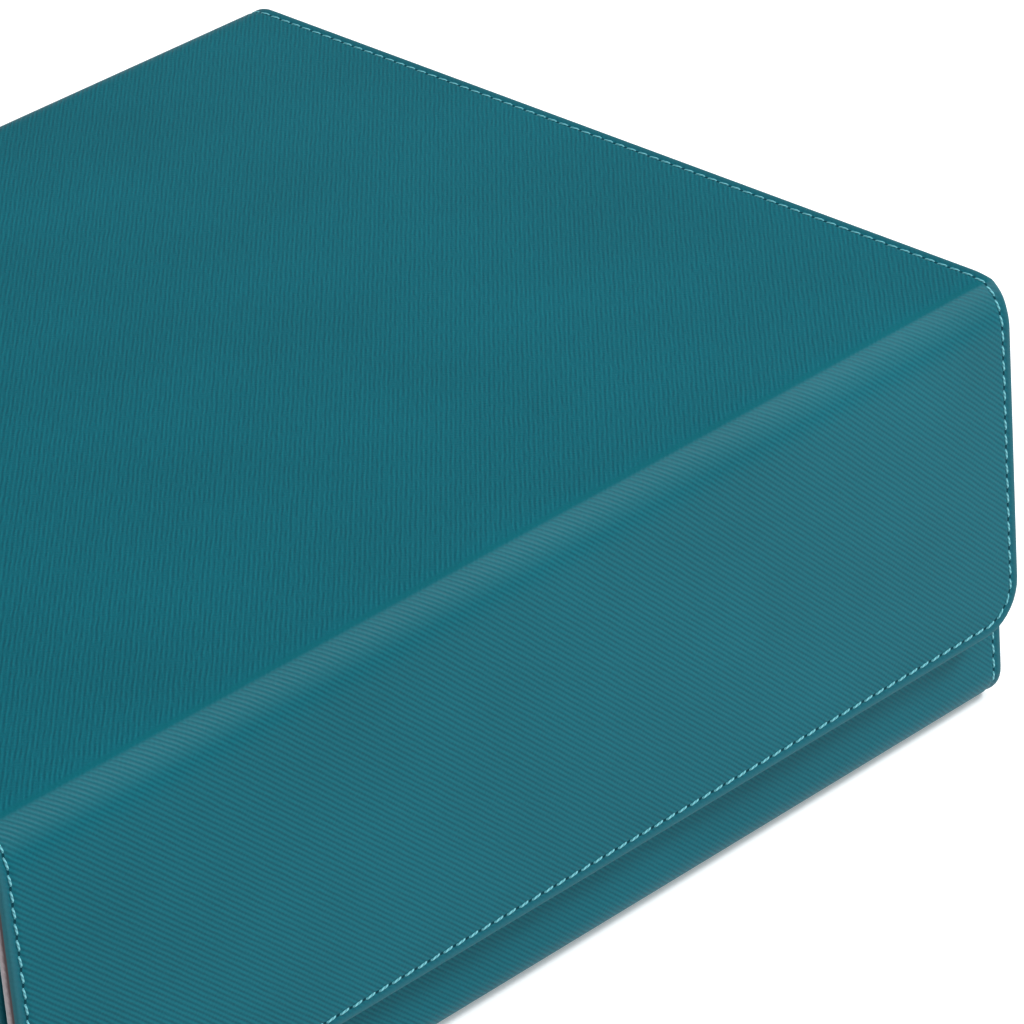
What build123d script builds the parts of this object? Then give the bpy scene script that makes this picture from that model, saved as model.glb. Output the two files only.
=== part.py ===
from build123d import *
import math
import os

# Card deck box with three rows. A leather cover wraps the base and continues over the back as the
# lid and, past a soft fold, as the front flap. The base is a lined tray of grey board.
# X runs along the rows, +Y to the back, +Z up. The origin is the centre of the footprint, on the table.
# All sizes are in millimetres.

os.makedirs("parts", exist_ok=True)

# ---- driving sizes ----------------------------------------------------------------------------
width = 268.0             # cover, left edge to right edge
depth = 230.0             # outer face of the closed flap to outer face of the back
height = 100.0            # table to the top of the lid

leather = 1.0             # cover leather
board = 2.4               # grey board in every wall, the lid and the flap
lining = 0.8              # microfibre
partition_board = 1.6     # board inside a row partition

front_fold_radius = 8.6   # outside of the soft fold between lid and flap
rear_fold_radius = 10.0   # outside of the soft fold along the lid's back
bottom_bend = 8.0         # outside of the bends where the cover turns under the base
flap_lift = 21.5          # table to the flap's lower edge
flap_corner = 10.0        # radius of the flap's two lower corners
end_recess = 1.0          # the ends sit this far inside the cover's side edges
board_inset = 0.4         # lid and flap board stop this far from the leather's cut edge
lining_inset = 0.5        # and so does their lining

row_count = 3
partition_drop = 12.0     # partitions end this far below the rim

divider_thickness = 1.5
divider_headroom = 5.3    # top of a divider to the closed lid's lining
divider_corner = 6.0
divider_notch = 11.0      # radius of the finger notch
divider_end_gap = 6.0     # divider's parked place, from the row's right end

magnet_count = 3
magnet_spacing = 90.0
magnet_radius = 5.0
magnet_thickness = 1.5
keeper_thickness = 1.2    # steel discs in the tray's front
magnet_rise = 18.0        # magnet centres above the flap's lower edge

# ---- clearances -------------------------------------------------------------------------------
flap_gap = 1.2            # closed flap's lining to the front of the base
lid_gap = 0.4             # closed lid's lining to the tray's rim
hinge_gap = 0.3           # ends of the tray to the lining inside the rear fold
pocket_gap = 0.15         # round a magnet or keeper, and behind it
divider_gap = 0.6         # each side of a divider, to the row's walls
divider_lift = 0.3        # under a divider

# ---- places worked out from them --------------------------------------------------------------
panel = leather + board + lining
cover_front = -depth / 2
cover_back = depth / 2
base_front = cover_front + panel + flap_gap
rim = height - panel - lid_gap
floor = panel
row_front = base_front + panel
row_back = cover_back - panel

front_fold_y = cover_front + front_fold_radius
front_fold_z = height - front_fold_radius
rear_fold_y = cover_back - rear_fold_radius
rear_fold_z = height - rear_fold_radius
rear_reach = rear_fold_radius - leather - lining - hinge_gap

cover_end = width / 2
end_face = cover_end - end_recess
board_end = end_face - leather
lining_end = board_end - board
row_end = lining_end - lining

partition = partition_board + 2 * lining
partition_top = rim - partition_drop
row_width = (row_back - row_front - (row_count - 1) * partition) / row_count
row_centres = [row_front + row_width / 2 + i * (row_width + partition) for i in range(row_count)]
partition_centres = [y + (row_width + partition) / 2 for y in row_centres[:-1]]
row_names = ["front", "middle", "rear"]
partition_names = ["front", "rear"]

magnet_z = flap_lift + magnet_rise
pocket_radius = magnet_radius + pocket_gap


def across(x):
    """Plane across the rows at x: its own X is the box's Y, its own Y is the box's Z."""
    return Plane.YZ.offset(x)


def facing_front(y):
    """Upright plane at depth y that faces the front; its own Y is the box's Z."""
    return Plane.XZ.offset(-y)


def base_section(inset, top, bent=True):
    """Section of the base, inset from the cover's outer face, with its rear top corner rounded
    off to stand under the rear fold. Unless it is bent, its two lower corners are square."""
    with BuildSketch() as under_fold:
        with Locations((rear_fold_y, rear_fold_z)):
            Rectangle(rear_fold_radius, rear_fold_radius, align=Align.MIN)
            Circle(rear_reach, mode=Mode.SUBTRACT)
    front = base_front + inset
    back = cover_back - inset
    with BuildSketch() as section:
        with Locations(((front + back) / 2, (inset + top) / 2)):
            Rectangle(back - front, top - inset)
        if bent:
            fillet(section.vertices().group_by(Axis.Y)[0], bottom_bend - inset)
        add(under_fold.sketch, mode=Mode.SUBTRACT)
    return section.sketch


def disc_faces(radius):
    """Circles in a row at the magnets' places, seen from the front."""
    with BuildSketch() as discs:
        with Locations((0, magnet_z)):
            with GridLocations(magnet_spacing, 1, magnet_count, 1):
                Circle(radius)
    return discs.sketch


def save(piece, name):
    piece.part.label = name
    export_step(piece.part, f"parts/{name}.step")


# ---- base cover: one strip of leather down the front, under the base and up the back ------------
# It is divided where it starts to bend, so that the piece on the table is flat.
def bent_upright(face, inward, top):
    """Section of leather that stands on its quarter bend; inward is +1 where the base lies at +Y."""
    middle = face + inward * bottom_bend
    inner = face + inward * leather
    with BuildSketch() as section:
        with BuildLine():
            Line((middle, leather), (middle, 0))
            ThreePointArc((middle, 0), bend_point(middle, inward, bottom_bend),
                          (face, bottom_bend))
            Polyline((face, bottom_bend), (face, top), (inner, top), (inner, bottom_bend))
            ThreePointArc((inner, bottom_bend),
                          bend_point(middle, inward, bottom_bend - leather), (middle, leather))
        make_face()
    return section.sketch


def bend_point(middle, inward, radius):
    """Half-way point of a bottom bend."""
    reach = radius * math.sqrt(0.5)
    return (middle - inward * reach, bottom_bend - reach)


with BuildPart() as base_front_skin:
    with BuildSketch(across(-cover_end)):
        add(bent_upright(base_front, 1, rim))
    extrude(amount=width)
save(base_front_skin, "base_front_skin")

with BuildPart() as base_back_skin:
    with BuildSketch(across(-cover_end)):
        add(bent_upright(cover_back, -1, rear_fold_z))
    extrude(amount=width)
save(base_back_skin, "base_back_skin")

with BuildPart() as base_bottom_skin:
    with BuildSketch(across(-cover_end)):
        with BuildLine():
            Polyline((base_front + bottom_bend, 0), (cover_back - bottom_bend, 0),
                     (cover_back - bottom_bend, leather), (base_front + bottom_bend, leather),
                     close=True)
        make_face()
    extrude(amount=width)
save(base_bottom_skin, "base_bottom_skin")


# ---- tray boards: stiff grey board, glued inside the cover --------------------------------------
board_rim = rim - lining
back_rim = rear_fold_z - lining

with BuildPart() as bottom_board:
    with BuildSketch(across(-lining_end)):
        add(base_section(leather, rim))
        with Locations((0, leather + board / 2)):
            Rectangle(2 * depth, board, mode=Mode.INTERSECT)
    extrude(amount=2 * lining_end)
save(bottom_board, "bottom_board")

with BuildPart() as front_board:
    with BuildSketch(across(-lining_end)):
        add(base_section(leather, rim))
        with Locations((base_front + leather + board / 2, (leather + board + board_rim) / 2)):
            Rectangle(board, board_rim - leather - board, mode=Mode.INTERSECT)
    extrude(amount=2 * lining_end)
    # blind pockets for the steel discs, behind the leather
    with BuildSketch(facing_front(base_front + leather)):
        add(disc_faces(pocket_radius))
    extrude(amount=-(keeper_thickness + pocket_gap), mode=Mode.SUBTRACT)
save(front_board, "front_board")

with BuildPart() as back_board:
    with BuildSketch(across(-lining_end)):
        add(base_section(leather, rim))
        with Locations((cover_back - leather - board / 2, (leather + board + back_rim) / 2)):
            Rectangle(board, back_rim - leather - board, mode=Mode.INTERSECT)
    extrude(amount=2 * lining_end)
save(back_board, "back_board")

for side, start in (("left", -board_end), ("right", lining_end)):
    with BuildPart() as end_board:
        with BuildSketch(across(start)):
            add(base_section(leather, rim))
            with Locations((0, board_rim / 2)):
                Rectangle(2 * depth, board_rim, mode=Mode.INTERSECT)
        extrude(amount=board)
    save(end_board, f"{side}_board")


# ---- end skins: leather over the outside of each end board ---------------------------------------
for side, start in (("left", -end_face), ("right", board_end)):
    with BuildPart() as end_skin:
        with BuildSketch(across(start)):
            add(base_section(leather, rim))
        extrude(amount=leather)
    save(end_skin, f"{side}_end_skin")


# ---- tray lining: microfibre over the floor and walls, turned outwards over the boards' tops -----
with BuildPart() as tray_lining:
    with BuildSketch(across(-row_end - lining)):
        add(base_section(leather + board, rim, bent=False))
    extrude(amount=2 * lining_end)
    # the turned edge over the front board and the end boards
    with BuildSketch(across(-board_end)):
        add(base_section(leather, rim))
        with Locations((0, rim - lining / 2)):
            Rectangle(2 * depth, lining, mode=Mode.INTERSECT)
    extrude(amount=2 * board_end)
    # the rows
    with BuildSketch(across(-row_end)):
        with Locations(((row_front + row_back) / 2, floor + height / 2)):
            Rectangle(row_back - row_front, height)
    extrude(amount=2 * row_end, mode=Mode.SUBTRACT)
    # the rear wall stops where the rear fold begins
    with BuildSketch(across(-row_end)):
        with Locations((cover_back, rear_fold_z + height / 2)):
            Rectangle(2 * panel + 2 * board, height)
    extrude(amount=2 * row_end, mode=Mode.SUBTRACT)
    # and turns out over the back board there
    with BuildSketch(across(-lining_end)):
        with Locations(((row_back + cover_back - leather) / 2, rear_fold_z - lining / 2)):
            Rectangle(board + lining, lining)
    extrude(amount=2 * lining_end)
save(tray_lining, "tray_lining")


# ---- row partitions: thin boards between the rows, each under a folded sheet of lining -----------
for name, y in zip(partition_names, partition_centres):
    with BuildPart() as core:
        with BuildSketch(across(-row_end)):
            with Locations((y, (floor + partition_top - lining) / 2)):
                Rectangle(partition_board, partition_top - lining - floor)
        extrude(amount=2 * row_end)
    save(core, f"{name}_partition_board")

    with BuildPart() as cover:
        with BuildSketch(across(-row_end)):
            with Locations((y, (floor + partition_top) / 2)):
                Rectangle(partition, partition_top - floor)
            with Locations((y, (floor + partition_top - lining) / 2)):
                Rectangle(partition_board, partition_top - lining - floor, mode=Mode.SUBTRACT)
        extrude(amount=2 * row_end)
    save(cover, f"{name}_partition_cover")


# ---- row dividers: loose plates that slide along each row, with a finger notch -------------------
divider_x = row_end - divider_end_gap - divider_thickness
divider_width = row_width - 2 * divider_gap
divider_foot = floor + divider_lift
divider_top = height - panel - divider_headroom

for name, y in zip(row_names, row_centres):
    with BuildPart() as divider:
        with BuildSketch(across(divider_x)) as face:
            with Locations((y, (divider_foot + divider_top) / 2)):
                Rectangle(divider_width, divider_top - divider_foot)
            fillet(face.vertices().group_by(Axis.Y)[-1], divider_corner)
            with Locations((y, divider_top)):
                Circle(divider_notch, mode=Mode.SUBTRACT)
        extrude(amount=divider_thickness)
    save(divider, f"{name}_row_divider")


# ---- lid: leather, board and microfibre, glued in a stack with plain cut edges ------------------
lid_length = rear_fold_y - front_fold_y
lid_middle = (rear_fold_y + front_fold_y) / 2
board_under = height - leather - board


def lid_layer(underside, thickness, inset):
    """One layer of the lid, the full length between the folds, inset at its two sides."""
    with BuildPart() as layer:
        with BuildSketch(Plane.XY.offset(underside)):
            with Locations((0, lid_middle)):
                Rectangle(width - 2 * inset, lid_length)
        extrude(amount=thickness)
    return layer


lid_skin = lid_layer(height - leather, leather, 0)
save(lid_skin, "lid_skin")

lid_board = lid_layer(board_under, board, board_inset)
save(lid_board, "lid_board")

lid_lining = lid_layer(board_under - lining, lining, lining_inset)
save(lid_lining, "lid_lining")


# ---- flap: the same layers hanging in front, with rounded lower corners --------------------------
def flap_outline(inset):
    """Face of the flap, inset from its two sides and lower edge; it ends square at the fold."""
    low = flap_lift + inset
    with BuildSketch() as outline:
        with Locations((0, (low + front_fold_z) / 2)):
            Rectangle(width - 2 * inset, front_fold_z - low)
        fillet(outline.vertices().group_by(Axis.Y)[0], flap_corner - inset)
    return outline.sketch


with BuildPart() as flap_skin:
    with BuildSketch(facing_front(cover_front + leather)):
        add(flap_outline(0))
    extrude(amount=leather)
save(flap_skin, "flap_skin")

with BuildPart() as flap_board:
    with BuildSketch(facing_front(cover_front + leather + board)):
        add(flap_outline(board_inset))
    extrude(amount=board)
    # blind pockets for the magnets, behind the lining
    with BuildSketch(facing_front(cover_front + leather + board)):
        add(disc_faces(pocket_radius))
    extrude(amount=magnet_thickness + pocket_gap, mode=Mode.SUBTRACT)
save(flap_board, "flap_board")

with BuildPart() as flap_lining:
    with BuildSketch(facing_front(cover_front + panel)):
        add(flap_outline(lining_inset))
    extrude(amount=lining)
save(flap_lining, "flap_lining")


# ---- magnetic catch: discs in the flap, steel discs facing them in the tray's front --------------
with BuildPart() as flap_magnets:
    with BuildSketch(facing_front(cover_front + leather + board)):
        add(disc_faces(magnet_radius))
    extrude(amount=magnet_thickness)
save(flap_magnets, "flap_magnets")

with BuildPart() as keeper_discs:
    with BuildSketch(facing_front(base_front + leather)):
        add(disc_faces(magnet_radius))
    extrude(amount=-keeper_thickness)
save(keeper_discs, "keeper_discs")


# ---- soft folds: the cover's leather and lining where they bend, with no board between -----------
def fold_section(centre, start_angle, outer, inner):
    """Quarter ring round a fold's centre, from start_angle on."""
    with BuildSketch() as section:
        with BuildLine():
            outside = CenterArc(centre, outer, start_angle, 90)
            inside = CenterArc(centre, inner, start_angle, 90)
            Line(outside @ 0, inside @ 0)
            Line(outside @ 1, inside @ 1)
        make_face()
    return section.sketch


lined_end = cover_end - lining_inset

for name, centre, start_angle, radius in (
        ("front", (front_fold_y, front_fold_z), 90, front_fold_radius),
        ("rear", (rear_fold_y, rear_fold_z), 0, rear_fold_radius)):
    with BuildPart() as fold_leather:
        with BuildSketch(across(-cover_end)):
            add(fold_section(centre, start_angle, radius, radius - leather))
        extrude(amount=width)
    save(fold_leather, f"{name}_fold")

    with BuildPart() as fold_lining:
        with BuildSketch(across(-lined_end)):
            add(fold_section(centre, start_angle, radius - leather, radius - leather - lining))
        extrude(amount=2 * lined_end)
    save(fold_lining, f"{name}_fold_lining")
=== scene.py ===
import math

import bmesh
import bpy
import numpy as np
from mathutils import Matrix, Vector


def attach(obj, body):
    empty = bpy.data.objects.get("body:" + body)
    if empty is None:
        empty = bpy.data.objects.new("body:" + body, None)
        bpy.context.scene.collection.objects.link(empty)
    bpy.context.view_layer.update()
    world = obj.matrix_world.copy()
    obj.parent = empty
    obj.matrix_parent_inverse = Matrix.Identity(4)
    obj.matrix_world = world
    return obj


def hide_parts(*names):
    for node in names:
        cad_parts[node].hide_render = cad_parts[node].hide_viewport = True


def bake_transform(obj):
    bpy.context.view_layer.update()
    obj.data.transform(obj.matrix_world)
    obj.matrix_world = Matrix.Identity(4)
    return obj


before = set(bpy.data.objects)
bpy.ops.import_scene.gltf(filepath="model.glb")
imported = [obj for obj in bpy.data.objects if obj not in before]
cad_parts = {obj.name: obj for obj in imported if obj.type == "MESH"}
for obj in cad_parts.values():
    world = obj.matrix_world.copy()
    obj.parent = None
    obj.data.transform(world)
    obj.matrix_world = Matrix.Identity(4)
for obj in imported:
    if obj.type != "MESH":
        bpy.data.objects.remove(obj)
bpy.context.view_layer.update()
MM = 0.001


# ---- Camera ------------------------------------------------------------------------------------
# A long lens close to the box's front left corner, a little above it and turned slightly, so that
# the lid, the fold and the flap run out of the picture.
azimuth, elevation, roll = (math.radians(a) for a in (-42.417, 29.058, -4.488))
look_back = Vector((math.sin(azimuth) * math.cos(elevation),
                    -math.cos(azimuth) * math.cos(elevation), math.sin(elevation)))
level = Vector((math.cos(azimuth), math.sin(azimuth), 0))
sideways = Matrix.Rotation(roll, 3, look_back) @ level
upwards = look_back.cross(sideways)
aim = Vector((70.93, -30.76, 45.25)) * MM
aim_distance = 1.21944

bpy.ops.object.camera_add()
camera = bpy.context.object
camera.name = "camera"
camera.data.lens = 205.35
camera.data.sensor_width = 36
camera.rotation_mode = "QUATERNION"
camera.rotation_quaternion = Matrix((sideways, upwards, look_back)).transposed().to_quaternion()
camera.location = aim + look_back * aim_distance
bpy.context.scene.camera = camera


# ---- Studio ------------------------------------------------------------------------------------
# A white table under an even white tent. One soft lamp stands to the right of the box's front and
# above it, so that it rakes one set of the leather's ribs on the lid and the other on the flap.
bpy.ops.object.select_all(action="DESELECT")
bpy.ops.mesh.primitive_plane_add(size=12)
table = bpy.context.object
table.name = "studio_table"
paint = bpy.data.materials.new("table_white")
paint.use_nodes = True
paint_surface = paint.node_tree.nodes["Principled BSDF"]
paint_surface.inputs["Base Color"].default_value = (0.92, 0.92, 0.92, 1)
paint_surface.inputs["Roughness"].default_value = 0.9
paint_surface.inputs["Emission Color"].default_value = (1, 1, 1, 1)
paint_surface.inputs["Emission Strength"].default_value = 0.3
table.data.materials.append(paint)

tent = bpy.data.worlds.new("white_tent")
bpy.context.scene.world = tent
tent.use_nodes = True
tent.node_tree.nodes["Background"].inputs["Color"].default_value = (1, 1, 1, 1)
tent.node_tree.nodes["Background"].inputs["Strength"].default_value = 0.38

lamp_way = Vector((0.64, -0.39, 0.62)).normalized()
lamp_distance = 3.5
bpy.ops.object.light_add(type="AREA", location=lamp_way * lamp_distance)
lamp = bpy.context.object
lamp.name = "front_right_lamp"
lamp.rotation_mode = "QUATERNION"
lamp.rotation_quaternion = lamp_way.to_track_quat("Z", "Y")
lamp.data.size = 0.8
lamp.data.energy = 85

overhead_place = Vector((0, -0.9, 2.6))
bpy.ops.object.light_add(type="AREA", location=overhead_place)
overhead = bpy.context.object
overhead.name = "overhead_softbox"
overhead.rotation_mode = "QUATERNION"
overhead.rotation_quaternion = overhead_place.to_track_quat("Z", "Y")
overhead.data.size = 2.4
overhead.data.energy = 39
bpy.context.scene.view_settings.view_transform = "Standard"


# ---- Cover leather -----------------------------------------------------------------------------
# One strip of embossed leather: it starts as the flap, goes over the lid, down the back, under the
# base and up the front again. Its edge is cut, rounded and sewn down in a shallow groove. It is
# parted where it has to follow different joints: over the lid, at the rear fold and round the base.
half_width = 134 * MM
flap_foot = 21.5 * MM
flap_corner = 10 * MM
leather_thickness = 1.0 * MM
front_fold = (-106.4 * MM, 91.4 * MM)
rear_fold = (105 * MM, 90 * MM)
rear_fold_radius = 10 * MM
bottom_bend = 8 * MM
base_front = -109.6 * MM
base_back = 115 * MM
base_rim = 95.4 * MM
# the edge, from outside inwards, as width and rise of each step: a rounded lip that flares a little,
# then the groove that the seam presses
edge_steps = [(0.06, 0.16), (0.14, 0.12), (0.30, 0.06), (0.90, -0.10), (0.55, -0.12), (0.55, 0.0),
              (0.45, 0.15), (0.45, 0.06)]
edge_rise = sum(rise for _, rise in edge_steps) * MM
seam_inset = 2.3 * MM


def yz(*places):
    """Points of a section, given in millimetres of depth and height."""
    return [Vector(place) * MM for place in places]


def soften(corners, reaches, steps=5):
    """A line through the corners, each of them rounded over as far as its reach."""
    line = []
    for before, corner, after, reach in zip(corners, corners[1:], corners[2:], reaches):
        arrive = corner + (before - corner).normalized() * reach * MM
        leave = corner + (after - corner).normalized() * reach * MM
        for i in range(steps + 1):
            share = i / steps
            line.append(arrive * (1 - share) ** 2 + corner * 2 * share * (1 - share) + leave * share ** 2)
    return line


def turn(centre, radius, start, end, steps):
    """Points of a bend from angle start to angle end, with a flat lead of 1 mm at both ends."""
    bend = []
    for i in range(steps + 1):
        angle = math.radians(start + (end - start) * i / steps)
        bend.append(Vector((centre[0] + radius * math.cos(angle), centre[1] + radius * math.sin(angle))))
    way = math.copysign(1, end - start)
    for angle, place, step in ((start, 0, -1), (end, len(bend) + 1, 1)):
        angle = math.radians(angle)
        along = Vector((-math.sin(angle), math.cos(angle))) * way * step * MM
        bend.insert(place, (bend[0] if step < 0 else bend[-1]) + along)
    return bend


def beneath(line, depth):
    """The same line, depth to the right of its run, which is under the face laid on it."""
    moved = []
    for i, point in enumerate(line):
        if 0 < i < len(line) - 1:
            before, after = (point - line[i - 1]).normalized(), (line[i + 1] - point).normalized()
            ahead = (before + after).normalized()
            stretch = 1 / max(ahead.dot(after), 0.5)
        else:
            ahead = ((line[1] - point) if i == 0 else (point - line[-2])).normalized()
            stretch = 1
        moved.append(point + Vector((ahead.y, -ahead.x)) * depth * stretch)
    return moved


def pick(test):
    """Selects, in the mesh being shaped, the vertices that pass the test and nothing else."""
    bpy.ops.mesh.select_mode(type="VERT")
    bpy.ops.mesh.select_all(action="DESELECT")
    shape = bmesh.from_edit_mesh(bpy.context.edit_object.data)
    for vertex in shape.verts:
        vertex.select_set(bool(test(vertex.co)))
    shape.select_flush_mode()
    bmesh.update_edit_mesh(bpy.context.edit_object.data)


def lay_strip(name, line, half, corner=0.0, corner_end=0):
    """A strip laid along a line in depth and height, from one side of the box to the other. The
    two corners at the line's start (0) or end (-1) are rounded."""
    bpy.ops.object.select_all(action="DESELECT")
    bpy.ops.mesh.primitive_plane_add(size=1)
    strip = bpy.context.object
    strip.name = strip.data.name = name
    first, second = line[0], line[1]
    run = second - first
    strip.scale = (2 * half, run.length, 1)
    strip.rotation_euler = (math.atan2(run.y, run.x), 0, 0)
    strip.location = (0, (first.x + second.x) / 2, (first.y + second.y) / 2)
    bpy.ops.object.transform_apply(location=True, rotation=True, scale=True)
    bpy.ops.object.mode_set(mode="EDIT")
    pick(lambda co: (Vector(co.yz) - second).length < 0.01 * MM)
    for here, there in zip(line[1:], line[2:]):
        step = there - here
        bpy.ops.mesh.extrude_region_move(TRANSFORM_OT_translate={"value": (0, step.x, step.y)})
    if corner:
        end = line[corner_end]
        pick(lambda co: (Vector(co.yz) - end).length < 0.01 * MM)
        bpy.ops.mesh.bevel(offset=corner, segments=9, affect="VERTICES")
    bpy.ops.object.mode_set(mode="OBJECT")
    return strip


def thicken_and_roll(piece, under, steps):
    """Gives a laid strip its underside, and rolls its edge with one inset after another."""
    group = piece.vertex_groups.new(name="underside")
    wall = piece.modifiers.new("wall", "SOLIDIFY")
    wall.thickness = under
    wall.offset = -1
    wall.use_even_offset = True
    wall.shell_vertex_group = group.name
    bpy.ops.object.modifier_apply(modifier=wall.name)
    bpy.ops.object.mode_set(mode="EDIT")
    bpy.ops.mesh.select_mode(type="VERT")
    bpy.ops.mesh.select_all(action="DESELECT")
    bpy.ops.object.vertex_group_select()
    bpy.ops.mesh.select_all(action="INVERT")
    bpy.ops.mesh.select_mode(type="FACE")
    for width, rise in steps:
        bpy.ops.mesh.inset(thickness=width * MM, depth=rise * MM, use_even_offset=True)
    bpy.ops.object.mode_set(mode="OBJECT")
    piece.vertex_groups.clear()


def measure_along(piece, line):
    """UV map in metres: across the box, and the length along the line that the strip follows."""
    starts = np.array([point[:] for point in line[:-1]])
    runs = np.array([(b - a)[:] for a, b in zip(line, line[1:])])
    lengths = np.linalg.norm(runs, axis=1)
    before = np.concatenate(([0], np.cumsum(lengths)[:-1]))
    layer = piece.data.uv_layers.get("laid_flat") or piece.data.uv_layers.new(name="laid_flat")
    flat = []
    for vertex in piece.data.vertices:
        place = np.array(vertex.co.yz)
        share = np.clip(((place - starts) * runs).sum(1) / lengths ** 2, 0, 1)
        gap = np.linalg.norm(starts + runs * share[:, None] - place, axis=1)
        near = int(np.argmin(gap))
        flat.append((vertex.co.x, before[near] + share[near] * lengths[near]))
    for loop in piece.data.loops:
        layer.data[loop.index].uv = flat[loop.vertex_index]
    # how far each point is from the cut edge, with the flap's rounded corners
    gaps = []
    for across, along in flat:
        side, foot = abs(across) - (half_width - flap_corner), flap_corner - along
        if side > 0 and foot > 0:
            gaps.append(flap_corner - math.hypot(side, foot))
        else:
            gaps.append(flap_corner - max(side, foot))
    edge = piece.data.attributes.new("from_edge", "FLOAT", "POINT")
    edge.data.foreach_set("value", [min(max(gap, 0), 3.4 * MM) for gap in gaps])


def measure(line, point):
    """How far along the line the point is."""
    done = 0
    best = (1e9, 0)
    for here, there in zip(line, line[1:]):
        run = there - here
        share = min(max((point - here).dot(run) / run.length_squared, 0), 1)
        best = min(best, ((here + run * share - point).length, done + share * run.length))
        done += run.length
    return best[1]


def part_off(piece, name, test):
    """Parts the faces that pass the test off into a piece of their own, and closes both cuts."""
    bpy.ops.object.select_all(action="DESELECT")
    piece.select_set(True)
    bpy.context.view_layer.objects.active = piece
    bpy.ops.object.mode_set(mode="EDIT")
    bpy.ops.mesh.select_mode(type="FACE")
    bpy.ops.mesh.select_all(action="DESELECT")
    shape = bmesh.from_edit_mesh(piece.data)
    for face in shape.faces:
        face.select_set(bool(test(face.calc_center_median())))
    bmesh.update_edit_mesh(piece.data)
    bpy.ops.mesh.separate(type="SELECTED")
    bpy.ops.object.mode_set(mode="OBJECT")
    parted = next(o for o in bpy.context.selected_objects if o is not piece)
    parted.name = parted.data.name = name
    for cut in (piece, parted):
        bpy.ops.object.select_all(action="DESELECT")
        cut.select_set(True)
        bpy.context.view_layer.objects.active = cut
        bpy.ops.object.mode_set(mode="EDIT")
        bpy.ops.mesh.select_mode(type="EDGE")
        bpy.ops.mesh.select_all(action="DESELECT")
        bpy.ops.mesh.select_non_manifold()
        bpy.ops.mesh.edge_face_add()
        bpy.ops.object.mode_set(mode="OBJECT")
    return parted


def shade(piece, degrees=40):
    """Smooth shading, but for edges sharper than that."""
    bpy.ops.object.select_all(action="DESELECT")
    piece.select_set(True)
    bpy.context.view_layer.objects.active = piece
    bpy.ops.object.shade_smooth_by_angle(angle=math.radians(degrees))


# where the strip is parted: behind the lid's board, and below the rear fold
lid_joint = Vector((99 * MM, 100 * MM))
back_joint = Vector((115 * MM, 82 * MM))
# the front fold creases along two lines, with a flat facet between them
fold_corners = yz((-115, 80), (-115, 91.9), (-113.4, 97.0), (-110.6, 99.45), (-107.2, 100), (-100, 100))
cover_line = yz((-115, 21.5), (-115, 88))
cover_line += soften(fold_corners, (2.4, 2.2, 0.7, 1.8))
cover_line += yz((-104, 100))
cover_line += [lid_joint]
cover_line += turn(rear_fold, rear_fold_radius, 90, 0, 16)
cover_line += [back_joint]
cover_line += turn((base_back - bottom_bend, bottom_bend), bottom_bend, 0, -90, 10)
cover_line += turn((base_front + bottom_bend, bottom_bend), bottom_bend, -90, -180, 10)
cover_line += [Vector((base_front, base_rim))]

lid_leather = lay_strip("lid_and_flap_leather", beneath(cover_line, edge_rise), half_width, flap_corner)
thicken_and_roll(lid_leather, leather_thickness - edge_rise, edge_steps)
measure_along(lid_leather, cover_line)
# the base keeps the back, the bottom and the front, which stands behind the closed flap
base_leather = part_off(lid_leather, "base_leather", lambda c: (
    c.z < back_joint.y if c.y > 0 else c.z < 15 * MM or (c.y > -111.2 * MM and c.z < 95.6 * MM)))
rear_leather = part_off(lid_leather, "rear_fold_leather", lambda c: c.y > 99 * MM)


def node_in(tree, kind, inputs, **settings):
    """Adds a shader node, with its settings, and each input either joined or given a value."""
    node = tree.nodes.new(kind)
    for key, value in settings.items():
        setattr(node, key, value)
    for key, value in inputs.items():
        if isinstance(value, bpy.types.NodeSocket):
            tree.links.new(value, node.inputs[key])
        else:
            node.inputs[key].default_value = value
    return node


def sums(tree, operation, a, b=0.0, c=0.0):
    """A Math node's result."""
    return node_in(tree, "ShaderNodeMath", {0: a, 1: b, 2: c}, operation=operation).outputs[0]


def effect(name, inputs, outputs):
    """An empty shader group with named inputs and outputs."""
    group = bpy.data.node_groups.new(name, "ShaderNodeTree")
    for label, (kind, value) in inputs.items():
        socket = group.interface.new_socket(label, in_out="INPUT", socket_type=kind)
        if value is not None:
            socket.default_value = value
    for label in outputs:
        group.interface.new_socket(label, in_out="OUTPUT", socket_type="NodeSocketFloat")
    return group, group.nodes.new("NodeGroupInput"), group.nodes.new("NodeGroupOutput")


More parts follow.
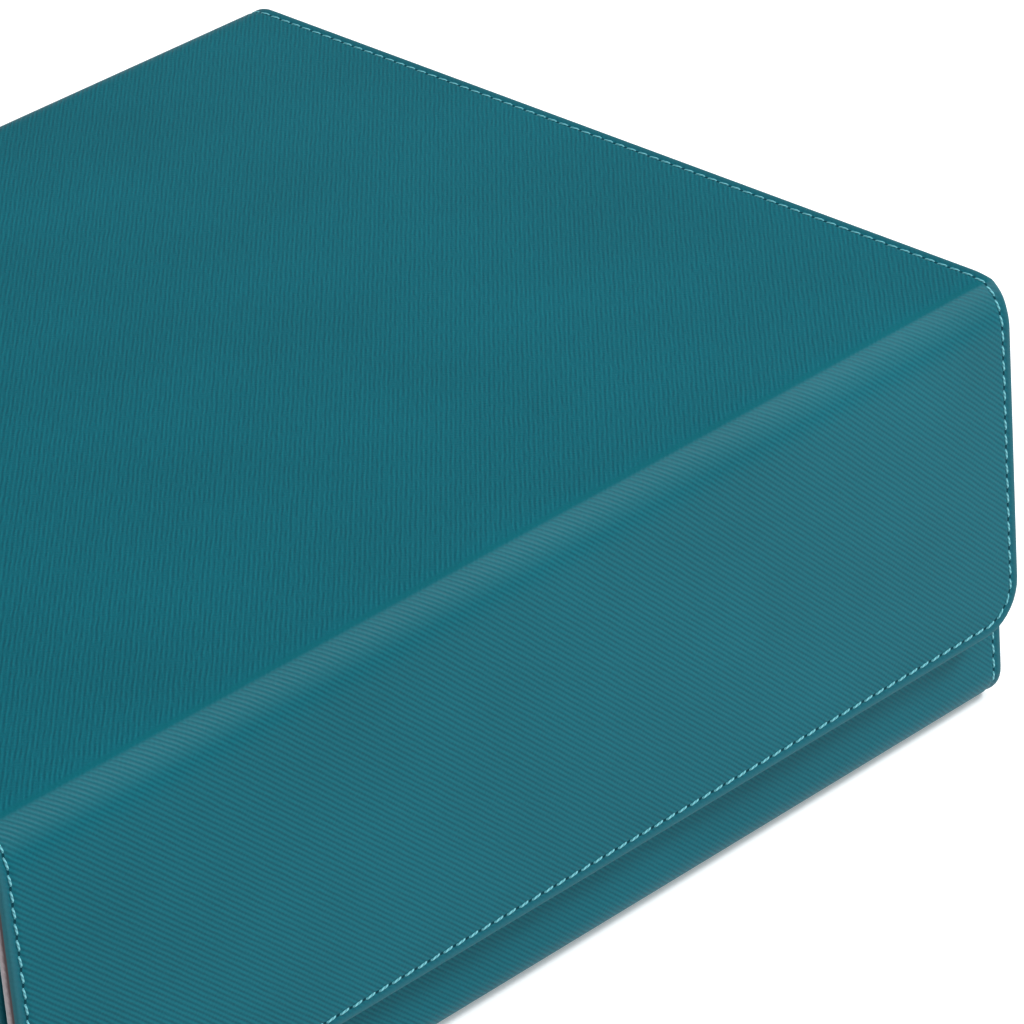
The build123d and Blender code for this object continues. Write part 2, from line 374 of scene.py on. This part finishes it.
# the embossing: two crossed sets of ribs, about 1055 to the metre. "Favour" says how far the first
# set stands out over the second, and "Breaks" how far the ribs are broken into dashes
embossing, given, result = effect("embossed_ribs", {
    "Flat": ("NodeSocketVector", None), "Favour": ("NodeSocketFloat", 0.5),
    "Breaks": ("NodeSocketFloat", 0.5)}, ["Height"])
across_first = node_in(embossing, "ShaderNodeVectorMath", {0: given.outputs["Flat"], 1: (757, -735, 0)},
                       operation="DOT_PRODUCT").outputs["Value"]
across_second = node_in(embossing, "ShaderNodeVectorMath", {0: given.outputs["Flat"], 1: (740, 757, 0)},
                        operation="DOT_PRODUCT").outputs["Value"]
ribs = []
for across, along, seed, low, high in ((across_first, across_second, 0.0, 0.12, 1.0),
                                       (across_second, across_first, 7.3, 1.0, 0.12)):
    wander = node_in(embossing, "ShaderNodeCombineXYZ", {
        0: sums(embossing, "MULTIPLY", across, 0.35), 1: sums(embossing, "MULTIPLY", along, 0.16), 2: seed})
    drift = node_in(embossing, "ShaderNodeTexNoise", {
        "Vector": wander.outputs[0], "Scale": 1.0, "Detail": 1.0}).outputs[0]
    cell = node_in(embossing, "ShaderNodeCombineXYZ", {
        0: across, 1: sums(embossing, "MULTIPLY", along, 0.27), 2: seed + 3.1})
    dash = node_in(embossing, "ShaderNodeTexNoise", {
        "Vector": cell.outputs[0], "Scale": 0.95, "Detail": 1.0}).outputs[0]
    gap = node_in(embossing, "ShaderNodeMapRange", {
        "Value": dash, "From Min": 0.33, "From Max": 0.60, "To Min": 1.0, "To Max": 0.0}).outputs[0]
    whole = sums(embossing, "MULTIPLY_ADD", sums(embossing, "MULTIPLY", gap, given.outputs["Breaks"]), -1, 1)
    weight = node_in(embossing, "ShaderNodeMapRange", {
        "Value": given.outputs["Favour"], "To Min": low, "To Max": high}).outputs[0]
    waver = sums(embossing, "MULTIPLY_ADD", given.outputs["Breaks"], 0.5, 0.1)
    shift = sums(embossing, "MULTIPLY", drift, waver)
    phase = sums(embossing, "MULTIPLY", sums(embossing, "ADD", shift, across), math.tau)
    ribs.append(sums(embossing, "MULTIPLY", sums(embossing, "SINE", phase),
                     sums(embossing, "MULTIPLY", whole, weight)))
height = sums(embossing, "MULTIPLY_ADD", sums(embossing, "ADD", ribs[0], ribs[1]), 0.29, 0.5)
embossing.links.new(height, result.inputs["Height"])


# the ribs that stand out change at the fold's upper crease, where the lamp's raking light changes sides;
# this also moves the ribs' painted valley shade
crease_along = measure(cover_line, fold_corners[3])
rear_along = measure(cover_line, Vector((112 * MM, 97 * MM)))


def leather_material(name, face, painted_valley_shade, lip_highlight):
    """Embossed leather that lies flat in its piece's own UV map; its pressed edge is smoother."""
    material = bpy.data.materials.new(name)
    material.use_nodes = True
    tree = material.node_tree
    surface = tree.nodes["Principled BSDF"]
    flat = node_in(tree, "ShaderNodeUVMap", {}, uv_map="laid_flat").outputs[0]
    along = node_in(tree, "ShaderNodeSeparateXYZ", {0: flat}).outputs[1]
    from_edge = node_in(tree, "ShaderNodeAttribute", {}, attribute_name="from_edge").outputs["Fac"]

    def ramp(value, start, end, low=0.0, high=1.0, smooth=False):
        """The value drawn out from start..end to low..high."""
        return node_in(tree, "ShaderNodeMapRange", {
            "Value": value, "From Min": start, "From Max": end, "To Min": low, "To Max": high},
            interpolation_type="SMOOTHSTEP" if smooth else "LINEAR").outputs[0]

    on_lid = sums(tree, "MULTIPLY", ramp(along, crease_along - 0.3 * MM, crease_along + 0.3 * MM),
                  ramp(along, rear_along - MM, rear_along + MM, 1, 0))
    near_crease = ramp(sums(tree, "ABSOLUTE", sums(tree, "SUBTRACT", along, crease_along + 0.8 * MM)),
                       0.3 * MM, 1.3 * MM, 1, 0, True)
    ribbing = node_in(tree, "ShaderNodeGroup", {}, node_tree=embossing)
    tree.links.new(flat, ribbing.inputs["Flat"])
    tree.links.new(on_lid, ribbing.inputs["Favour"])
    tree.links.new(ramp(on_lid, 0, 1, 0.3, 0.95), ribbing.inputs["Breaks"])
    pressed = ramp(from_edge, 1.0 * MM, 2.4 * MM, 1, 0, True)
    smoothed = sums(tree, "MAXIMUM", sums(tree, "MULTIPLY", pressed, 0.85),
                    sums(tree, "MULTIPLY", near_crease, 0.75))
    ribs_height = node_in(tree, "ShaderNodeMix", {
        0: smoothed, 2: ribbing.outputs["Height"], 3: 0.3}).outputs[0]
    cloud = node_in(tree, "ShaderNodeTexNoise", {"Vector": flat, "Scale": 22.0, "Detail": 3.0}).outputs[0]
    fine = node_in(tree, "ShaderNodeTexNoise", {"Vector": flat, "Scale": 1700.0, "Detail": 3.0}).outputs[0]
    # the rib valleys are painted darker than the rib crowns: painted shade
    tone = node_in(tree, "ShaderNodeMix", {
        0: ramp(ribs_height, 0.08, 0.92, 1, 0), 6: face, 7: painted_valley_shade}, data_type="RGBA")
    # a darker line is painted along the upper crease: painted shade
    crease_painted_shade = node_in(tree, "ShaderNodeMix", {
        0: sums(tree, "MULTIPLY", near_crease, 0.8), 6: tone.outputs[2],
        7: srgb(0, 92, 103)}, data_type="RGBA")
    # the fold's upper 4 mm are painted paler, a painted highlight where the fold faces the lamp, fading out
    # over the next 4 mm towards the flap
    fold_painted_highlight = sums(tree, "MULTIPLY",
                   ramp(along, crease_along - 8 * MM, crease_along - 4 * MM, 0, 0.3, True),
                   ramp(along, crease_along - 0.3 * MM, crease_along + 0.3 * MM, 1, 0))
    # the last 1.6 mm at the cut edge are painted paler too, most at the very edge: a painted highlight on
    # its rounded lip
    painted_edge_and_fold_highlight = node_in(tree, "ShaderNodeMix", {
        0: sums(tree, "MAXIMUM", ramp(from_edge, 0.3 * MM, 1.6 * MM, 0.5, 0), fold_painted_highlight),
        6: crease_painted_shade.outputs[2], 7: lip_highlight}, data_type="RGBA")
    shade_of = node_in(tree, "ShaderNodeHueSaturation", {
        "Color": painted_edge_and_fold_highlight.outputs[2], "Value": sums(tree, "MULTIPLY", ramp(cloud, 0.3, 0.7, 0.95, 1.05),
                                                  ramp(fine, 0.3, 0.7, 0.93, 1.07))})
    tree.links.new(shade_of.outputs[0], surface.inputs["Base Color"])
    tree.links.new(ramp(fine, 0.3, 0.7, 0.46, 0.58), surface.inputs["Roughness"])
    bump = node_in(tree, "ShaderNodeBump", {
        "Height": sums(tree, "MULTIPLY_ADD", fine, ramp(on_lid, 0, 1, 0.25, 0.5), ribs_height),
        "Distance": 0.14 * MM, "Strength": 1.0})
    tree.links.new(bump.outputs[0], surface.inputs["Normal"])
    surface.inputs["Specular IOR Level"].default_value = 0.09
    return material


def srgb(red, green, blue):
    """A linear colour from its three usual parts of 255."""
    parts = [(c / 255 / 12.92) if c < 10.3 else ((c / 255 + 0.055) / 1.055) ** 2.4
             for c in (red, green, blue)]
    return (*parts, 1)


# the leather's own colour, the painted shade of its rib valleys and the painted highlight of its cut edge
teal_leather = leather_material("teal_leather", srgb(8, 103, 115), srgb(0, 75, 90), srgb(50, 104, 113))
for piece in (lid_leather, rear_leather, base_leather):
    piece.data.materials.append(teal_leather)
    shade(piece)
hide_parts("lid_skin", "front_fold", "flap_skin")
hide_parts("rear_fold")
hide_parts("base_back_skin", "base_bottom_skin", "base_front_skin")
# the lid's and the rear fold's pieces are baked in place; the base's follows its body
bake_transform(lid_leather)
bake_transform(rear_leather)
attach(base_leather, "base")


# ---- Seams -------------------------------------------------------------------------------------
# A lockstitch in bonded pale blue thread holds the cover's edge down all round: up both sides and
# along the flap's lower edge. Each stitch lies a little askew between its two needle holes.
pitch = 3.4 * MM
stitch_size = (2.85 * MM, 0.52 * MM, 0.42 * MM)
stitch_slant = math.radians(8)
stitch_sink = 0.28 * MM
groove_depth = 0.21 * MM

line_steps = [(b - a).length for a, b in zip(cover_line, cover_line[1:])]
cover_length = sum(line_steps)


def on_cover(across, along):
    """Where a point of the laid-flat cover is on the box, and which ways it runs and faces there."""
    rest = along
    for index, step in enumerate(line_steps):
        if rest <= step or index == len(line_steps) - 1:
            break
        rest -= step
    run = (cover_line[index + 1] - cover_line[index]).normalized()
    place = cover_line[index] + run * rest
    run = Vector((0, run.x, run.y))
    return Vector((across, place.x, place.y)), run, Vector((1, 0, 0)).cross(run)


def along_seam(distance):
    """A point of the seam laid flat, and its heading; it starts at the strip's top right end."""
    side = cover_length - seam_inset - flap_corner
    bend = flap_corner - seam_inset
    arc = bend * math.pi / 2
    straight = half_width - flap_corner
    if distance < side:
        return half_width - seam_inset, cover_length - seam_inset - distance, -math.pi / 2
    distance -= side
    if distance < arc:
        angle = distance / bend
        return (straight + bend * math.cos(angle), flap_corner - bend * math.sin(angle),
                -math.pi / 2 - angle)
    distance -= arc
    if distance < 2 * straight:
        return straight - distance, seam_inset, -math.pi
    distance -= 2 * straight
    if distance < arc:
        angle = distance / bend
        return (-straight - bend * math.sin(angle), flap_corner - bend * math.cos(angle),
                -math.pi - angle)
    distance -= arc
    return -half_width + seam_inset, flap_corner + distance, -3 * math.pi / 2


seam_length = 2 * (cover_length - seam_inset - flap_corner) + math.pi * (flap_corner - seam_inset) \
    + 2 * (half_width - flap_corner)

bpy.ops.object.select_all(action="DESELECT")
bpy.ops.mesh.primitive_uv_sphere_add(segments=8, ring_count=8, radius=0.5, rotation=(0, math.pi / 2, 0))
stitch = bpy.context.object
stitch.name = "one_stitch"
stitch.scale = (stitch_size[2], stitch_size[1], stitch_size[0])
bpy.ops.object.transform_apply(location=True, rotation=True, scale=True)
for vertex in stitch.data.vertices:
    share = vertex.co.x / (stitch_size[0] / 2)
    fuller = math.sqrt(1 + share ** 2)
    vertex.co.y *= fuller
    vertex.co.z = vertex.co.z * fuller + stitch_size[2] * 0.2 - stitch_sink * share ** 4
bpy.ops.object.shade_smooth()

bpy.ops.mesh.primitive_circle_add(vertices=10, radius=0.5, fill_type="NGON")
needle_hole = bpy.context.object
needle_hole.name = "one_needle_hole"
needle_hole.scale = (1.0 * MM, 0.62 * MM, 1)
bpy.ops.object.transform_apply(location=True, rotation=True, scale=True)


def sew(name, model, start, wanted, slant, lift):
    """Copies of the model along the part of the seam that is wanted, joined into one piece."""
    bpy.ops.object.select_all(action="DESELECT")
    copies = []
    distance = start
    while distance < seam_length - pitch:
        across, along, heading = along_seam(distance)
        if wanted(along):
            place, run, face = on_cover(across, along)
            ahead = Vector((1, 0, 0)) * math.cos(heading) + run * math.sin(heading)
            ahead = Matrix.Rotation(slant, 3, face) @ ahead
            turned = Matrix((ahead, face.cross(ahead), face)).transposed().to_4x4()
            copy = model.copy()
            copy.data = model.data.copy()
            copy.data.transform(Matrix.Translation(place - face * (groove_depth - lift)) @ turned)
            bpy.context.collection.objects.link(copy)
            copy.select_set(True)
            copies.append(copy)
        distance += pitch
    bpy.context.view_layer.objects.active = copies[0]
    bpy.ops.object.join()
    piece = bpy.context.object
    piece.name = piece.data.name = name
    return piece


thread_material = bpy.data.materials.new("bonded_thread")
thread_material.use_nodes = True
tree = thread_material.node_tree
surface = tree.nodes["Principled BSDF"]
thread_map = node_in(tree, "ShaderNodeSeparateXYZ", {
    0: node_in(tree, "ShaderNodeUVMap", {}, uv_map="UVMap").outputs[0]})
ply = sums(tree, "SINE", sums(tree, "MULTIPLY", sums(tree, "MULTIPLY_ADD", thread_map.outputs[1], 3.5, sums(
    tree, "MULTIPLY", thread_map.outputs[0], 2.0)), math.tau))
lay = node_in(tree, "ShaderNodeMapRange", {
    "Value": ply, "From Min": -1.0, "From Max": 0.6, "To Min": 0.0, "To Max": 1.0}).outputs[0]
# the thread is painted darker in the grooves between its plies: painted shade
ply_shaded_colour = node_in(tree, "ShaderNodeMix", {
    0: lay, 6: srgb(64, 138, 152), 7: srgb(112, 192, 202)}, data_type="RGBA")
tree.links.new(ply_shaded_colour.outputs[2], surface.inputs["Base Color"])
tree.links.new(node_in(tree, "ShaderNodeBump", {
    "Height": lay, "Distance": 0.05 * MM, "Strength": 0.8}).outputs[0], surface.inputs["Normal"])
tree.links.new(node_in(tree, "ShaderNodeMapRange", {
    "Value": lay, "To Min": 0.6, "To Max": 0.42}).outputs[0], surface.inputs["Roughness"])
surface.inputs["Specular IOR Level"].default_value = 0.4

hole_material = bpy.data.materials.new("needle_hole_shadow")
hole_material.use_nodes = True
tree = hole_material.node_tree
surface = tree.nodes["Principled BSDF"]
fibres = node_in(tree, "ShaderNodeTexNoise", {
    "Vector": node_in(tree, "ShaderNodeTexCoord", {}).outputs["Object"], "Scale": 3000.0}).outputs[0]
tree.links.new(node_in(tree, "ShaderNodeMix", {
    0: fibres, 6: srgb(0, 44, 54), 7: srgb(0, 62, 74)}, data_type="RGBA").outputs[2],
    surface.inputs["Base Color"])
tree.links.new(node_in(tree, "ShaderNodeMapRange", {
    "Value": fibres, "To Min": 0.8, "To Max": 0.95}).outputs[0], surface.inputs["Roughness"])
surface.inputs["Specular IOR Level"].default_value = 0.1

lid_joint_along = sum(line_steps[:cover_line.index(lid_joint)])
back_joint_along = sum(line_steps[:cover_line.index(back_joint)])
lowest_stitch = 5.5 * MM
for part, wanted in (("lid_and_flap", lambda along: along < lid_joint_along),
                     ("rear_fold", lambda along: lid_joint_along <= along < back_joint_along),
                     ("base", lambda along: along >= back_joint_along and
                      on_cover(0, along)[0].z > lowest_stitch)):
    seam = sew(part + "_seam", stitch, pitch / 2, wanted, stitch_slant, 0.0)
    holes = sew(part + "_needle_holes", needle_hole, 0.0, wanted, 0.0, 0.03 * MM)
    seam.data.materials.append(thread_material)
    holes.data.materials.append(hole_material)
    for piece in (seam, holes):
        if part == "lid_and_flap":
            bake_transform(piece)
        elif part == "rear_fold":
            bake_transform(piece)
        else:
            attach(piece, "base")
for model in (stitch, needle_hole):
    bpy.data.objects.remove(model)


# ---- Boards of the lid and flap ----------------------------------------------------------------
# Grey board under the leather, cut almost flush, its pulp bare along its edges; the glue shows as a
# dark line next to the leather. The lid's lies flat and the flap's hangs, so each has its own depth.
def board_material(name, depth_axis, leather_face):
    """Board whose bare edge darkens towards the leather."""
    material = bpy.data.materials.new(name)
    material.use_nodes = True
    tree = material.node_tree
    surface = tree.nodes["Principled BSDF"]
    place = node_in(tree, "ShaderNodeTexCoord", {}).outputs["Object"]
    parts = node_in(tree, "ShaderNodeSeparateXYZ", {0: place})
    pulp = node_in(tree, "ShaderNodeTexNoise", {
        "Vector": place, "Scale": 900.0, "Detail": 4.0, "Roughness": 0.65}).outputs[0]
    waver = sums(tree, "MULTIPLY_ADD", pulp, 0.5 * MM, parts.outputs[depth_axis])
    edge = node_in(tree, "ShaderNodeMapRange", {
        "Value": waver, "From Min": leather_face[0], "From Max": leather_face[1]}).outputs[0]
    tone = node_in(tree, "ShaderNodeMix", {
        0: pulp, 6: srgb(140, 130, 134), 7: srgb(184, 174, 178)}, data_type="RGBA")
    glue = node_in(tree, "ShaderNodeMix", {0: edge, 6: srgb(80, 66, 68), 7: tone.outputs[2]},
                   data_type="RGBA")
    tree.links.new(glue.outputs[2], surface.inputs["Base Color"])
    tree.links.new(node_in(tree, "ShaderNodeMapRange", {
        "Value": pulp, "To Min": 0.75, "To Max": 0.95}).outputs[0], surface.inputs["Roughness"])
    tree.links.new(node_in(tree, "ShaderNodeBump", {
        "Height": pulp, "Distance": 0.15 * MM, "Strength": 0.7}).outputs[0], surface.inputs["Normal"])
    surface.inputs["Specular IOR Level"].default_value = 0.25
    return material


def dress(node, material):
    """Gives a CAD node its finish."""
    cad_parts[node].data.materials.clear()
    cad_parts[node].data.materials.append(material)


dress("flap_board", board_material("flap_board_edge", 1, (-112.7 * MM, -111.8 * MM)))
dress("lid_board", board_material("lid_board_edge", 2, (97.7 * MM, 96.8 * MM)))
# the plain board's glue line is set outside the box, so that none shows
plain_board = board_material("plain_grey_board", 0, (-1.0, -0.9))
for node in ("bottom_board", "front_board", "back_board", "left_board", "right_board",
             "front_partition_board", "rear_partition_board"):
    dress(node, plain_board)


# ---- Microfibre lining -------------------------------------------------------------------------
# Silver grey microfibre with a short nap, glued inside the lid and flap in one sheet that runs round
# the soft fold, and in a second sheet inside the rear fold. Its cut edge is soft and rounded.
lining_half = 133.5 * MM
lining_steps = [(0.12, 0.2), (0.25, 0.12), (0.4, 0.05)]
lining_rise = sum(rise for _, rise in lining_steps) * MM
lining_thickness = 0.8 * MM


def inner_turn(centre, radius, start, end, steps):
    """Points of a bend without leads."""
    return [Vector((centre[0] + radius * math.cos(math.radians(start + (end - start) * i / steps)),
                    centre[1] + radius * math.sin(math.radians(start + (end - start) * i / steps))))
            for i in range(steps + 1)]


lid_lining_line = yz((105, 95.8), (-104.6, 95.8), (-105.7, 95.84), (-106.4, 96.15), (-107.0, 96.8),
                     (-107.5, 97.4))
lid_lining_line += inner_turn(front_fold, 6.5 * MM, 104, 166, 9)
lid_lining_line += yz((-112.4, 92.5), (-111.8, 92.0), (-111.15, 91.4), (-110.84, 90.7), (-110.8, 89.6),
                      (-110.8, 22.0))
lid_lining = lay_strip("lid_and_flap_lining", beneath(lid_lining_line, lining_rise), lining_half,
                       9.5 * MM, -1)
thicken_and_roll(lid_lining, lining_thickness - lining_rise, lining_steps)

rear_lining_line = inner_turn(rear_fold, 8.2 * MM, 0, 76, 12)
rear_lining_line += yz((106.3, 97.4), (105.7, 96.5), (105.3, 96.0), (105, 95.8))
rear_lining = lay_strip("rear_fold_lining_sheet", beneath(rear_lining_line, lining_rise), lining_half)
thicken_and_roll(rear_lining, lining_thickness - lining_rise, lining_steps)

microfibre = bpy.data.materials.new("silver_microfibre")
microfibre.use_nodes = True
tree = microfibre.node_tree
surface = tree.nodes["Principled BSDF"]
place = node_in(tree, "ShaderNodeTexCoord", {}).outputs["Object"]
nap = node_in(tree, "ShaderNodeTexNoise", {
    "Vector": place, "Scale": 2600.0, "Detail": 3.0, "Roughness": 0.7}).outputs[0]
stroke = node_in(tree, "ShaderNodeTexNoise", {
    "Vector": node_in(tree, "ShaderNodeMapping", {"Vector": place, "Scale": (1, 2.2, 1.6)}).outputs[0],
    "Scale": 26.0, "Detail": 4.0, "Roughness": 0.6, "Distortion": 0.6}).outputs[0]
blend_of = sums(tree, "MULTIPLY_ADD", nap, 0.55, sums(tree, "MULTIPLY", stroke, 0.45))
tree.links.new(node_in(tree, "ShaderNodeMix", {
    0: node_in(tree, "ShaderNodeMapRange", {
        "Value": blend_of, "From Min": 0.32, "From Max": 0.66}).outputs[0],
    6: srgb(138, 144, 149), 7: srgb(176, 182, 186)}, data_type="RGBA").outputs[2],
    surface.inputs["Base Color"])
tree.links.new(node_in(tree, "ShaderNodeMapRange", {
    "Value": nap, "To Min": 0.85, "To Max": 1.0}).outputs[0], surface.inputs["Roughness"])
tree.links.new(node_in(tree, "ShaderNodeBump", {
    "Height": blend_of, "Distance": 0.12 * MM, "Strength": 0.8}).outputs[0], surface.inputs["Normal"])
surface.inputs["Specular IOR Level"].default_value = 0.15
surface.inputs["Sheen Weight"].default_value = 0.25
surface.inputs["Sheen Roughness"].default_value = 0.5

for piece in (lid_lining, rear_lining):
    piece.data.materials.append(microfibre)
    shade(piece, 50)
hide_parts("lid_lining", "front_fold_lining", "flap_lining")
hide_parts("rear_fold_lining")
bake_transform(lid_lining)
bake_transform(rear_lining)


# ---- Tray lining, partition covers and end leather -----------------------------------------------
# The same microfibre lines the three rows and turns over the tray's rim, and a folded sheet of it
# covers each partition. Outside, the ends are faced with the cover's leather.
def close_copy(node, name, rounding):
    """A piece on a CAD node's shape, its loose triangles joined and its edges rounded over."""
    bpy.ops.object.select_all(action="DESELECT")
    piece = bpy.data.objects.new(name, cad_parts[node].data.copy())
    piece.data.name = name
    bpy.context.collection.objects.link(piece)
    piece.data.materials.clear()
    while piece.data.uv_layers:
        piece.data.uv_layers.remove(piece.data.uv_layers[0])
    piece.select_set(True)
    bpy.context.view_layer.objects.active = piece
    bpy.ops.mesh.customdata_custom_splitnormals_clear()
    bpy.ops.object.mode_set(mode="EDIT")
    bpy.ops.mesh.select_all(action="SELECT")
    bpy.ops.mesh.remove_doubles(threshold=0.01 * MM)
    bpy.ops.mesh.dissolve_limited(angle_limit=math.radians(1))
    bpy.ops.object.mode_set(mode="OBJECT")
    round_over = piece.modifiers.new("round_over", "BEVEL")
    round_over.width = rounding
    round_over.segments = 3
    round_over.limit_method = "ANGLE"
    round_over.angle_limit = math.radians(35)
    bpy.ops.object.modifier_apply(modifier=round_over.name)
    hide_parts(node)
    return piece


for node, name, rounding in (("tray_lining", "tray_lining_sheet", 0.35 * MM),
                             ("front_partition_cover", "front_partition_sleeve", 0.6 * MM),
                             ("rear_partition_cover", "rear_partition_sleeve", 0.6 * MM)):
    piece = close_copy(node, name, rounding)
    piece.data.materials.append(microfibre)
    shade(piece, 50)
    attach(piece, "base")

for side in ("left", "right"):
    piece = close_copy(side + "_end_skin", side + "_end_leather", 0.35 * MM)
    flat = piece.data.uv_layers.new(name="laid_flat")
    # shifted 0.2 m, clear of the lengths at which the cover is creased
    for loop in piece.data.loops:
        place = piece.data.vertices[loop.vertex_index].co
        flat.data[loop.index].uv = (place.y, place.z - 0.2)
    edge = piece.data.attributes.new("from_edge", "FLOAT", "POINT")
    edge.data.foreach_set("value", [3.4 * MM] * len(piece.data.vertices))
    piece.data.materials.append(teal_leather)
    shade(piece)
    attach(piece, "base")


# ---- Row dividers --------------------------------------------------------------------------------
# Three loose plates of moulded plastic with a fine matt grain, one in each row, with a thumb notch.
plastic = bpy.data.materials.new("grained_plastic")
plastic.use_nodes = True
tree = plastic.node_tree
surface = tree.nodes["Principled BSDF"]
place = node_in(tree, "ShaderNodeTexCoord", {}).outputs["Object"]
pebble = node_in(tree, "ShaderNodeTexVoronoi", {"Vector": place, "Scale": 1500.0}).outputs["Distance"]
scuff = node_in(tree, "ShaderNodeTexNoise", {
    "Vector": place, "Scale": 60.0, "Detail": 5.0, "Roughness": 0.7}).outputs[0]
tree.links.new(node_in(tree, "ShaderNodeMix", {
    0: node_in(tree, "ShaderNodeMapRange", {"Value": scuff, "From Min": 0.35, "From Max": 0.7}).outputs[0],
    6: srgb(30, 33, 36), 7: srgb(44, 47, 51)}, data_type="RGBA").outputs[2], surface.inputs["Base Color"])
tree.links.new(node_in(tree, "ShaderNodeMapRange", {
    "Value": scuff, "From Min": 0.3, "From Max": 0.7, "To Min": 0.42, "To Max": 0.6}).outputs[0],
    surface.inputs["Roughness"])
tree.links.new(node_in(tree, "ShaderNodeBump", {
    "Height": pebble, "Distance": 0.05 * MM, "Strength": 0.6}).outputs[0], surface.inputs["Normal"])
for row in ("front", "middle", "rear"):
    piece = close_copy(row + "_row_divider", row + "_divider_plate", 0.3 * MM)
    piece.data.materials.append(plastic)
    shade(piece)
    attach(piece, row + "_divider")


# ---- Magnetic catch ------------------------------------------------------------------------------
# Three nickel-plated magnets sit in blind pockets of the flap's board, facing three steel discs in
# the tray's front; linings and leather hide them all.
for node, name, tint, low, high in (("flap_magnets", "nickel_plate", (0.66, 0.64, 0.60, 1), 0.18, 0.32),
                                    ("keeper_discs", "stamped_steel", (0.52, 0.53, 0.54, 1), 0.3, 0.5)):
    metal = bpy.data.materials.new(name)
    metal.use_nodes = True
    tree = metal.node_tree
    surface = tree.nodes["Principled BSDF"]
    rub = node_in(tree, "ShaderNodeTexNoise", {
        "Vector": node_in(tree, "ShaderNodeTexCoord", {}).outputs["Object"], "Scale": 700.0,
        "Detail": 4.0}).outputs[0]
    tree.links.new(node_in(tree, "ShaderNodeMapRange", {
        "Value": rub, "To Min": low, "To Max": high}).outputs[0], surface.inputs["Roughness"])
    surface.inputs["Base Color"].default_value = tint
    surface.inputs["Metallic"].default_value = 1.0
    dress(node, metal)
